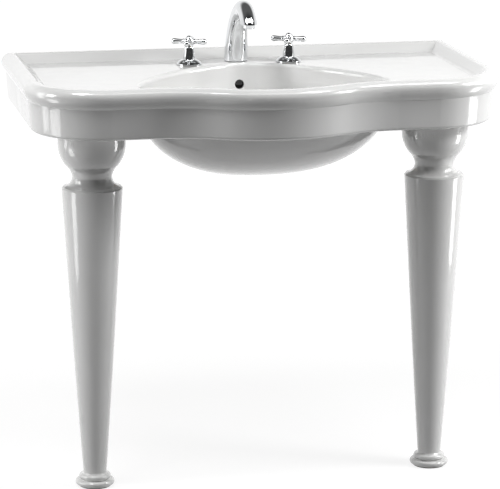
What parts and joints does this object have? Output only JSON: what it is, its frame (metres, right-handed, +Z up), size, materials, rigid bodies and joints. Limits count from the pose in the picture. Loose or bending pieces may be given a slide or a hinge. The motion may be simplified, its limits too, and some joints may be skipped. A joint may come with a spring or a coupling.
{
  "type": "console sink with legs",
  "caption": "Ceramic console washbasin with a swept front and raised rim on two turned legs, with a fixed spout and cross-handle valves.",
  "frame": {"origin": "on the floor, in the middle of the plan of the whole object", "axes": "+Z up, +Y towards the wall the basin is fastened to, +X to the right seen from the front"},
  "size_m": [0.914, 0.5349, 0.9],
  "materials": {
    "glaze": "gloss",
    "chrome": "polished",
    "brass": "satin",
    "steel": "zinc plated",
    "rubber": "matt",
    "disc": "lapped",
    "foot": "matt",
    "insert": "matt"
  },
  "bodies": {
    "sink": {"aerator_housing": "chrome", "aerator_insert": "insert", "basin": "glaze", "cold_back_nut": "brass", "cold_column": "chrome", "cold_deck_gasket": "rubber", "cold_escutcheon": "chrome", "cold_fixed_disc": "disc", "cold_headwork": "brass", "cold_link_tube": "chrome", "cold_rubber_washer": "rubber", "cold_valve_body": "brass", "foot_bridge_plates": "steel", "foot_nuts": "steel", "hot_back_nut": "brass", "hot_column": "chrome", "hot_deck_gasket": "rubber", "hot_escutcheon": "chrome", "hot_fixed_disc": "disc", "hot_headwork": "brass", "hot_link_tube": "chrome", "hot_rubber_washer": "rubber", "hot_valve_body": "brass", "left_foot_pad": "foot", "left_leg": "glaze", "left_leg_gasket": "rubber", "left_leg_seat": "glaze", "left_tie_rod": "steel", "link_nuts": "brass", "right_foot_pad": "foot", "right_leg": "glaze", "right_leg_gasket": "rubber", "right_leg_seat": "glaze", "right_tie_rod": "steel", "spout": "chrome", "spout_back_nut": "brass", "spout_gasket": "rubber", "spout_rubber_washer": "rubber", "spout_shank": "brass", "spout_steel_washer": "steel", "spout_tee": "brass", "tie_rod_rubber_washers": "rubber", "tie_rod_steel_washers": "steel", "tie_rod_top_nuts": "steel"},
    "hot_handle": {"hot_cross_handle": "chrome", "hot_handle_cap": "chrome", "hot_handle_screw": "steel", "hot_spindle": "brass", "hot_moving_disc": "disc"},
    "cold_handle": {"cold_cross_handle": "chrome", "cold_handle_cap": "chrome", "cold_handle_screw": "steel", "cold_spindle": "brass", "cold_moving_disc": "disc"}
  },
  "joints": [
    {"name": "hot_handle_turn", "type": "hinge", "parent": "sink", "child": "hot_handle", "pos_m": [-0.1, 0.1595, 0.8155], "axis": [0, 0, 1], "range_deg": [0, 90]},
    {"name": "cold_handle_turn", "type": "hinge", "parent": "sink", "child": "cold_handle", "pos_m": [0.1, 0.1595, 0.8155], "axis": [0, 0, 1], "range_deg": [-90, 0]}
  ]
}
